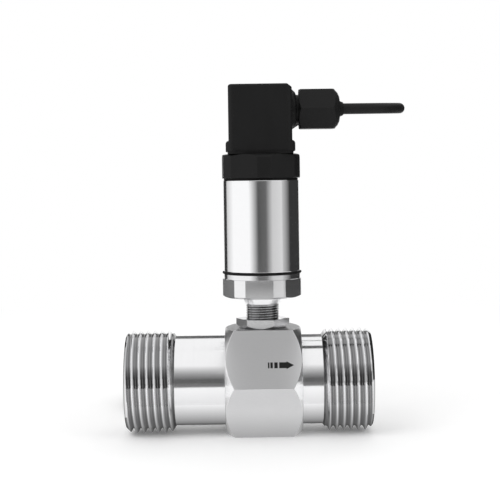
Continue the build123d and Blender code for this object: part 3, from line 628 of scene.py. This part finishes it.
def makeBody():
    bar = layAlongX(spinOutline(bodyOutline(body)), boreZ)
    addPiece("bodyBar", bar, "turned", ["meter_body"])

    corner = cornerRadius(body["hexFlats"]) + 1  # past the hexagon's corners
    land = body["hexFlats"] / 2 - body["land"]
    run = corner - land  # the chamfers are at 45 degrees
    length, bore = body["hexLength"], body["hexBore"]
    envelope = spinOutline([(bore, 0), (land, 0), (corner, run), (corner, length - run), (land, length),
                            (bore, length)], steps=192)
    block = intersect(prism(body["hexFlats"], length), envelope)
    turned = Matrix.Rotation(radians(90), 4, "Z")
    bmesh.ops.transform(block, matrix=turned, verts=block.verts)
    layAlongX(block, boreZ, headX - length / 2)
    softenEdges(block, body["edge"], angle=12.0)
    block.normal_update()
    for face in block.faces:  # the turned chamfers and ends are brighter than the milled flats
        face.material_index = 1 if abs(face.normal.x) > 0.3 and face.normal.z < 0.35 else 0
    addPiece("bodyHex", block, "milled turned", ["meter_body"])

    for name, side, phase in (("inletThread", -1, "inletPhase"), ("outletThread", 1, "outletPhase")):
        setup = dict(pipeThread, limit=threadLimit(pipeThread), phase=pipeThread[phase])
        sleeve = threadSleeve(setup)
        if side < 0:
            bmesh.ops.transform(sleeve, matrix=Matrix.Rotation(pi, 4, "X"), verts=sleeve.verts)
        layAlongX(sleeve, boreZ, side * (body["half"] - body["threadLength"]))
        addPiece(name, sleeve, "thread", ["meter_body"], sharp=radians(60))


makeBody()
print("body made")


# Flow arrow on the hexagon's upper front face

# top and bottom are down the face from its upper edge; the shaft is a share of the height, and the head,
# bars and gaps are shares of the length
arrow = {
    "left": 6.0, "right": 14.2, "top": 10.55, "bottom": 13.1, "lift": 0.03, "shaft": 0.76, "head": 0.29,
    "bars": [0.057, 0.093, 0.129], "gaps": [0.036, 0.057, 0.057],
}


def makeArrow(setup):
    span = setup["right"] - setup["left"]
    middle = (setup["top"] + setup["bottom"]) / 2
    half = (setup["bottom"] - setup["top"]) / 2
    shaft = setup["shaft"] * half
    headStart = (1 - setup["head"]) * span
    bm = bmesh.new()

    def plate(outline):
        verts = [bm.verts.new((x * mm, y * mm, 0)) for x, y in outline]
        face = bm.faces.new(verts)
        raised = bmesh.ops.extrude_face_region(bm, geom=[face])["geom"]
        moved = [item for item in raised if isinstance(item, bmesh.types.BMVert)]
        bmesh.ops.translate(bm, verts=moved, vec=(0, 0, setup["lift"] * mm))

    at = 0.0
    for width, gap in zip(setup["bars"], setup["gaps"]):
        low, high = at * span, (at + width) * span
        plate([(low, -shaft), (high, -shaft), (high, shaft), (low, shaft)])
        at += width + gap
    plate([(at * span, -shaft), (headStart, -shaft), (headStart, shaft), (at * span, shaft)])
    plate([(headStart, -half), (span, 0), (headStart, half)])
    normal = Vector((0, -cos(radians(30)), sin(radians(30))))
    down = Vector((0, -sin(radians(30)), -cos(radians(30))))
    centre = Vector((0, 0, boreZ)) + normal * body["hexFlats"] / 2
    halfFace = cornerRadius(body["hexFlats"]) / 2
    origin = centre + down * (middle - halfFace) + Vector((setup["left"], 0, 0))
    place = Matrix((Vector((1, 0, 0)), -down, normal)).transposed().to_4x4()
    bmesh.ops.transform(bm, matrix=Matrix.Translation(origin * mm) @ place, verts=bm.verts)
    addPiece("flowArrow", bm, "ink")


makeArrow(arrow)


# Lock nut and pickup body

# the chamfer is a share of how far the corners stand out, and the margin is past the corners
lockNut = {
    "flats": 15.0, "height": 2.9, "turn": -6.0, "bore": 5.0, "edge": 0.12, "chamfer": 0.9, "margin": 0.2,
}
# stem, disc, spigot, cone and core are radii; the cone runs from above the thread into the base
pickup = {
    "stem": 5.45, "bottom": 28.6, "stemTop": 41.6, "core": 0.5, "relief": 0.3, "collar": 0.25,
    "collarHeight": 0.15, "cone": 6.5, "inBase": 1.0,
    "baseBottom": 44.0, "baseFlats": 24.0, "baseRadius": 12.8, "baseBore": 4.0, "baseChamfer": (0.9, 0.55),
    "baseEdge": 0.1, "turn": -4.8,
    "discBottom": 49.9, "disc": 12.5, "discTop": 51.6, "discEdge": 0.12, "discBore": 9.5,
    "spigot": 11.2, "spigotHeight": 5.0,
}
stemThread = {
    "pitch": 0.78, "crest": 5.45, "depth": 0.42, "length": 7.6, "steps": 96, "phase": 0.0, "sunk": 4.7,
    "endDrop": 0.0, "taperStart": 7.2, "taper": 0.5,
    "form": [(0.0, 0.0), (0.18, 0.2), (0.36, 0.8), (0.5, 1.0), (0.64, 0.8), (0.82, 0.2)],
}


def stemLimit(z):
    return stemThread["crest"] - max(0.0, z - stemThread["taperStart"]) * stemThread["taper"]


def hexNut(setup):
    flats, height, margin = setup["flats"], setup["height"], setup["margin"]
    corner = cornerRadius(flats) + margin
    drop = (corner - flats / 2) * setup["chamfer"]
    envelope = spinOutline([(setup["bore"], 0), (flats / 2 - margin, 0), (corner, drop), (corner, height),
                            (setup["bore"], height)])
    nut = softenEdges(intersect(prism(flats, height), envelope), setup["edge"], angle=14.0)
    nut.normal_update()
    for face in nut.faces:  # the top face is turned and shines; the chamfer below, which lies in shade, gets the dark spring steel as painted shade
        face.material_index = 1 if face.normal.z > 0.5 else 2 if face.normal.z < -0.3 else 0
    return nut


def makeStem():
    stem, core = pickup["stem"], pickup["core"]
    sunk = stemThread["crest"] - stemThread["depth"] - rootGap
    bottom, threadTop = pickup["bottom"], pickup["stemTop"]
    coneTop = pickup["baseBottom"] + pickup["inBase"]
    collar, collarTop = pickup["collar"], threadTop + pickup["collarHeight"]
    shaft = spinOutline([
        (core, bottom), (sunk, bottom), (sunk, threadTop - pickup["relief"]), (stem - collar, threadTop),
        (stem + collar, collarTop), (pickup["cone"], pickup["baseBottom"]), (pickup["cone"], coneTop),
        (core, coneTop),
    ])
    addPiece("pickupStem", moveTo(shaft, headX), "nut", ["pickup_body"])
    ridge = threadSleeve(dict(stemThread, limit=stemLimit))
    addPiece("stemThread", moveTo(ridge, headX, threadTop - stemThread["length"]), "fineThread",
             ["pickup_body"], sharp=radians(60))


def makeBase():
    height = pickup["discBottom"] - pickup["baseBottom"]
    radius, bore = pickup["baseRadius"], pickup["baseBore"]
    inward, upward = pickup["baseChamfer"]
    envelope = spinOutline([(bore, 0), (radius - inward, 0), (radius, upward), (radius, height),
                            (bore, height)], steps=192)
    base = intersect(prism(pickup["baseFlats"], height), envelope)
    softenEdges(base, pickup["baseEdge"], angle=14.0)
    base.normal_update()
    flat = (pickup["baseFlats"] / 2 + radius) / 2 * mm
    for face in base.faces:  # six wrench flats milled on a turned base
        depth = face.calc_center_median().dot(face.normal)
        face.material_index = 1 if abs(face.normal.z) < 0.1 and depth < flat else 0
    addPiece("pickupBase", moveTo(base, headX, pickup["baseBottom"], pickup["turn"]), "upright flats",
             ["pickup_body"])


def makeDisc():
    radius, edge, bore = pickup["disc"], pickup["discEdge"], pickup["discBore"]
    bottom, top = pickup["discBottom"], pickup["discTop"]
    spigot, spigotTop = pickup["spigot"], top + pickup["spigotHeight"]
    disc = spinOutline([
        (bore, bottom), (radius - edge, bottom), (radius, bottom + edge), (radius, top - edge),
        (radius - edge, top), (spigot, top), (spigot, spigotTop), (bore, spigotTop),
    ])
    addPiece("pickupDisc", moveTo(disc, headX), "upright", ["pickup_body"])


nut = moveTo(hexNut(lockNut), headX, body["hexFlats"], lockNut["turn"])
# the lock nut's third finish, the dark spring steel on its lower chamfer, is painted shade
addPiece("lockNut", nut, "nut upright spring", ["lock_nut"])
makeStem()
makeBase()
makeDisc()
print("pickup made")


# Housing sleeve, seals and the faceted cap

housing = {"radius": 12.45, "bore": 11.25, "edge": 0.25}
sealRings = {
    "lowerSealRing": {"radius": 12.85, "bore": 11.2, "edge": 0.3, "node": "lower_seal"},
    "upperSealRing": {"radius": 12.05, "bore": 11.2, "edge": 0.2, "node": "upper_seal"},
}
# foot and crown give how far in from the corners and how far from the end each point lies, outermost first
cap = {
    "flats": 24.7, "corner": 13.2, "turn": -26.0, "bore": 8.52, "edge": 0.35,
    "foot": [(0.0, 0.5), (0.15, 0.15), (0.5, 0.0)],
    "crown": [(0.0, 1.2), (0.3, 0.45), (0.9, 0.1), (1.5, 0.0)],
}


def ringFromNode(name, setup, finish, node):  # its height is the solid's, and its edges are round
    outer, inner, edge = setup["radius"], setup["bore"], setup["edge"]
    low, high = (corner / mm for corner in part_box(node))
    bottom, top = low[2], high[2]
    near = edge * 0.3
    ring = spinOutline([
        (inner, bottom), (outer - edge, bottom), (outer - near, bottom + near), (outer, bottom + edge),
        (outer, top - edge), (outer - near, top - near), (outer - edge, top), (inner, top),
    ])
    addPiece(name, moveTo(ring, headX), finish, [node])


def makeHousing():
    ringFromNode("housingShell", housing, "polished", "housing_sleeve")
    for name, ring in sealRings.items():
        ringFromNode(name, ring, "rubber", ring["node"])
    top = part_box("connector_cap")[1][2] / mm
    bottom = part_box("upper_seal")[1][2] / mm
    height = top - bottom
    corner, bore = cap["corner"], cap["bore"]
    foot = [(corner - inward, up) for inward, up in reversed(cap["foot"])]
    crown = [(corner - inward, height - down) for inward, down in cap["crown"]]
    envelope = spinOutline([(bore, 0), *foot, *crown, (bore, height)], steps=192)
    block = intersect(prism(cap["flats"], height), envelope)
    softenEdges(block, cap["edge"], angle=16.0, segments=3)
    addPiece("connectorCap", moveTo(block, headX, bottom, cap["turn"]), "black",
             ["connector_cap"])


makeHousing()
print("housing made")


# Right-angle plug

plug = {
    "width": 20.4, "depth": 20.0, "corner": 1.6, "flange": 22.3, "flangeDepth": 19.5, "flangeHeight": 3.4,
    "flangeCorner": 2.4, "bossRadius": 5.8, "bossEnd": 16.45, "neckRadius": 4.75, "neckEnd": 26.95,
    "axis": 104.6, "bossBore": 3.65, "overlap": 1.5, "flangeRound": 1.1, "topRound": 0.8,
    "bossRound": [(0.0, 0.9), (0.3, 0.25), (0.9, 0.0)],  # inward and back from the boss's end
    "browStart": 13.3, "browDrop": 0.1, "browHalf": 4.6, "browSlope": 0.77, "browInset": 0.1,
    "browShort": 0.35, "browEdge": 0.3,
}
gland = {
    "flats": 12.75, "start": 17.35, "end": 30.65, "bore": 4.8, "mouth": 2.65, "mouthDepth": 1.2,
    "edge": 0.25, "margin": 0.1, "footChamfer": 0.7,
    # inward from the flats and forward from where the dome begins
    "dome": [(0.35, 1.5), (1.1, 2.2), (2.3, 2.75), (3.3, 2.9)], "shoulder": (0.45, 0.8),
}
# radius and distance from its foot, which is sunk by its seat into the gland nut
cableSleeve = {
    "seat": 1.2,
    "outline": [(1.85, 0), (2.6, 0), (2.6, 1.2), (2.45, 1.5), (2.2, 2.1), (2.02, 2.4), (1.85, 2.4)],
}


def addPlastic(name, bm, node):
    addPiece(name, bm, "black", [node])


def roundedBlock(width, depth, height, corner, top):  # upright from z 0, with round upright and top edges
    bm = bmesh.new()
    bmesh.ops.create_cube(bm, size=1.0)
    bmesh.ops.scale(bm, vec=(width * mm, depth * mm, height * mm), verts=bm.verts)
    bmesh.ops.translate(bm, vec=(0, 0, height / 2 * mm), verts=bm.verts)
    upright = [e for e in bm.edges if abs(e.verts[0].co.z - e.verts[1].co.z) > nearSpot]
    bevel = {"affect": "EDGES", "profile": 0.5, "material": -1}
    bmesh.ops.bevel(bm, geom=upright, offset=corner * mm, segments=6, **bevel)
    rim = [e for e in bm.edges if all(v.co.z > (height - 0.001) * mm for v in e.verts)]
    bmesh.ops.bevel(bm, geom=rim, offset=top * mm, segments=4, **bevel)
    return bm


def makePlugHousing():
    low, high = (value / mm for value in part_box("plug_housing"))
    bottom, top = low[2], high[2]
    flange = roundedBlock(plug["flange"], plug["flangeDepth"], plug["flangeHeight"], plug["flangeCorner"],
                          plug["flangeRound"])
    addPlastic("plugFlange", moveTo(flange, headX, bottom), "plug_housing")

    height = top - bottom
    shell = roundedBlock(plug["width"], plug["depth"], height, plug["corner"], plug["topRound"])
    slope = Vector((plug["browSlope"], 0, 1))
    bmesh.ops.bisect_plane(shell, geom=shell.verts[:] + shell.edges[:] + shell.faces[:], clear_outer=True,
                           plane_co=((plug["browStart"] - headX) * mm, 0, height * mm), plane_no=slope)
    bmesh.ops.holes_fill(shell, edges=[e for e in shell.edges if e.is_boundary], sides=0)
    addPlastic("plugShell", moveTo(shell, headX, bottom), "plug_housing")

    start, end, neckEnd = headX + plug["width"] / 2 - plug["overlap"], plug["bossEnd"], plug["neckEnd"]
    bore, radius, neck = plug["bossBore"], plug["bossRadius"], plug["neckRadius"]
    rounded = [(radius - inward, end - back) for inward, back in plug["bossRound"]]
    boss = spinOutline([(bore, start), (radius, start), *rounded, (neck, end), (neck, neckEnd),
                        (bore, neckEnd)], steps=96)
    addPlastic("plugBoss", layAlongX(boss, plug["axis"]), "plug_housing")
    brow = makeBrow(start, end - plug["browShort"], top - plug["browDrop"])
    addPlastic("plugBrow", brow, "plug_housing")


def makeBrow(start, end, top):  # a sloped web from the box's top edge down to the end of the boss
    brow = bmesh.new()
    radius = plug["bossRadius"] - plug["browInset"]
    for x in (start, end):
        turn = Matrix.Translation((x * mm, 0, 0)) @ Matrix.Rotation(radians(90), 4, "Y")
        bmesh.ops.create_circle(brow, segments=64, radius=radius * mm, matrix=turn)
    for x in (start, plug["browStart"]):
        for y in (-plug["browHalf"], plug["browHalf"]):
            brow.verts.new((x * mm, y * mm, (top - plug["axis"]) * mm))
    hull = bmesh.ops.convex_hull(brow, input=brow.verts[:])
    spare = [item for item in hull["geom_interior"] if isinstance(item, bmesh.types.BMVert)]
    bmesh.ops.delete(brow, geom=spare, context="VERTS")
    softenEdges(brow, plug["browEdge"], angle=25.0)
    return moveTo(brow, z=plug["axis"])


def makeGland():
    length = gland["end"] - gland["start"]
    flat = gland["flats"] / 2
    corner = cornerRadius(gland["flats"]) + gland["margin"]
    domeStart = length - gland["dome"][-1][1]
    dome = [(flat - inward, domeStart + forward) for inward, forward in gland["dome"]]
    inward, forward = gland["shoulder"]  # from the corners, where the dome begins
    bore, mouth, seat = gland["bore"], gland["mouth"], length - gland["mouthDepth"]
    envelope = spinOutline([
        (bore, 0), (flat, 0), (corner, gland["footChamfer"]), (corner, domeStart),
        (corner - inward, domeStart + forward), *dome, (mouth, length), (mouth, seat), (bore, seat),
    ], steps=128)
    nut = intersect(prism(gland["flats"], length), envelope)
    bmesh.ops.transform(nut, matrix=Matrix.Rotation(radians(90), 4, "Z"), verts=nut.verts)
    softenEdges(nut, gland["edge"], angle=16.0, segments=3)
    addPlastic("glandNut", layAlongX(nut, plug["axis"], gland["start"]), "gland_nut")

    sleeve = spinOutline(cableSleeve["outline"], steps=64)
    addPiece("cableSleeve", layAlongX(sleeve, plug["axis"], gland["end"] - cableSleeve["seat"]), "rubber",
             ["cable_sleeve"])


makePlugHousing()
makeGland()
print("plug made")


# Cable: one smooth line from the gland, round behind the plug, into the tied coil and out to its cut end

cable = {
    "diameter": 3.6,
    "route": [(26.5, 0, 104.6), (37.5, 0, 104.6), (47.0, 5.5, 104.9), (52.5, 15.0, 105.4),
              (52.5, 26.0, 106.0), (47.0, 35.5, 106.6), (37.5, 41.0, 106.9), (26.5, 41.6, 106.2),
              (16.6, 41.0, 102.6), (8.8, 39.6, 95.2), (5.2, 38.0, 85.6), (4.6, 36.6, 72.5),
              (5.2, 35.4, 56.0), (5.6, 33.8, 41.5), (3.6, 31.6, 29.5), (-1.8, 29.2, 18.8),
              (-8.6, 27.2, 10.4)],
    "middleRadius": 21.6, "columns": 5, "turns": 9.5, "pointsPerTurn": 20, "lift": 0.4, "shift": 0.2,
    "swell": 1.008,  # the line runs a little inside its control points
    "centre": (-14.0, 55.31), "length": 1.48,
    "tail": [(7.5, -0.8, 2.1), (15.0, -2.2, 1.9), (24.0, -5.6, 1.8)],  # x from the centre, y from the edge
}


# Radius and height at a turn: the winding runs inwards on top, then outwards below, and moves to its next
# place in the last share of each turn
def coilPlace(turn, setup):
    gauge, columns, shift = setup["diameter"], setup["columns"], setup["shift"]
    slot = int(min(turn, 2 * columns - 1e-6))
    share = max(0.0, (turn - slot - (1 - shift)) / shift)
    share = share * share * (3 - 2 * share)  # starts and ends smoothly

    def place(index):
        index = min(index, 2 * columns - 1)
        column = columns - 1 - index if index < columns else index - columns
        layer = 1 if index < columns else 0
        radius = setup["middleRadius"] + (column - (columns - 1) / 2) * gauge
        return radius, setup["lift"] + gauge * (0.5 + layer)
    (radius, height), (nextRadius, nextHeight) = place(slot), place(slot + 1)
    return radius + (nextRadius - radius) * share, height + (nextHeight - height) * share


def makeCable(setup):
    points = list(setup["route"])
    perTurn = setup["pointsPerTurn"]
    centreX, centreY = setup["centre"]
    for step in range(int(setup["turns"] * perTurn) + 1):
        turn = step / perTurn
        radius, height = coilPlace(turn, setup)
        radius *= setup["swell"]
        angle = -pi / 2 - 2 * pi * turn
        points.append((centreX + radius * cos(angle), centreY + radius * sin(angle), height))
    edge = centreY + setup["middleRadius"] + 2 * setup["diameter"]
    points += [(centreX + x, edge + y, z) for x, y, z in setup["tail"]]
    curve = bpy.data.curves.new("cable", "CURVE")
    curve.dimensions = "3D"
    spline = curve.splines.new("NURBS")
    spline.points.add(len(points) - 1)
    for point, place in zip(spline.points, points):
        point.co = (*(value * mm for value in place), 1)
    spline.order_u = 3
    spline.use_endpoint_u = True
    curve.resolution_u = 6
    curve.bevel_depth = setup["diameter"] / 2 * mm
    curve.bevel_resolution = 5
    curve.use_fill_caps = True
    curve.materials.append(finishes["jacket"])
    line = bpy.data.objects.new("cableLine", curve)
    scene.collection.objects.link(line)
    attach(line, "meter")
    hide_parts("cable", "cable_coil", "cable_tail")
    return line


cableLine = makeCable(cable)


# CAD nodes that stay, with their finishes

keptNodes = {
    "inlet_guide": "turned", "outlet_guide": "turned", "inlet_retaining_ring": "spring",
    "outlet_retaining_ring": "spring", "inlet_bearing": "carbide", "outlet_bearing": "carbide",
    "thrust_pads": "carbide", "rotor": "rotor", "rotor_shaft": "carbide", "pole_piece": "iron",
    "coil_bobbin": "natural", "pickup_winding": "copper", "magnet": "nickel", "coil_leads": "copper",
    "circuit_board": "board", "board_chips": "chip", "board_capacitors": "tin",
    "contact_base": "greyNylon", "contact_blades": "tin", "screw_insert": "brass", "flat_gasket": "rubber",
    "terminal_block": "greyNylon", "plug_contacts": "tin", "plug_screw": "turned", "screw_seal": "rubber",
    "gland_seal": "rubber", "gland_washer": "natural", "coil_tie": "strap", "supply_core": "coreRed",
    "signal_core": "coreYellow", "return_core": "coreBlack",
}
for node, finish in keptNodes.items():
    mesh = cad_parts[node].data
    mesh.materials.clear()
    mesh.materials.append(finishes[finish])

print("cable made")
